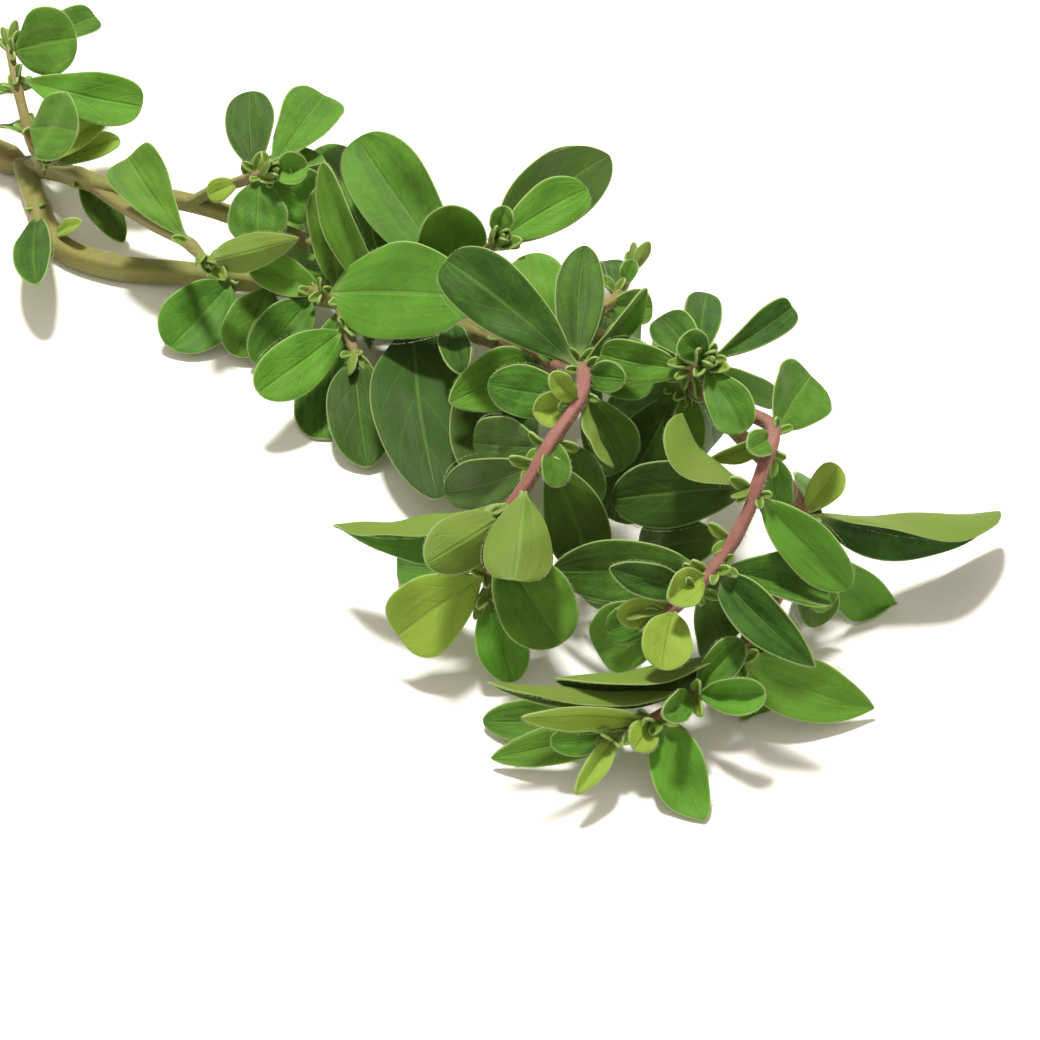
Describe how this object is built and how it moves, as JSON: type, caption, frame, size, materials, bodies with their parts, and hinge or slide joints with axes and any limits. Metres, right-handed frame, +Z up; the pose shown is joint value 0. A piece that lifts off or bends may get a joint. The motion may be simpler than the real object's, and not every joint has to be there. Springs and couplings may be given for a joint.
{
  "type": "cut marjoram sprig",
  "caption": "Branched fresh herb sprig lying down: a bare cut stem that forks into drooping shoots crowded with small oval leaves in pairs.",
  "frame": {"origin": "on the table, under the middle of the whole sprig's box", "axes": "+X to the right along the sprig, towards its leafy tips, +Y away over the table, +Z up"},
  "size_m": [0.1408, 0.1214, 0.0298],
  "materials": {
    "stem": "matte green-brown herb stem with fine hairs",
    "leaf": "matte velvety green leaf with a pale hairy margin and a paler underside"
  },
  "bodies": {
    "root": {"cut_stem": "stem", "lower_branch": "leaf", "upper_branch": "leaf", "right_branch": "leaf", "crown_shoot": "leaf", "back_shoot": "leaf", "left_shoot": "leaf", "cross_shoot": "leaf", "under_shoot": "leaf", "ridge_shoot": "leaf", "far_shoot": "leaf"}
  },
  "joints": []
}
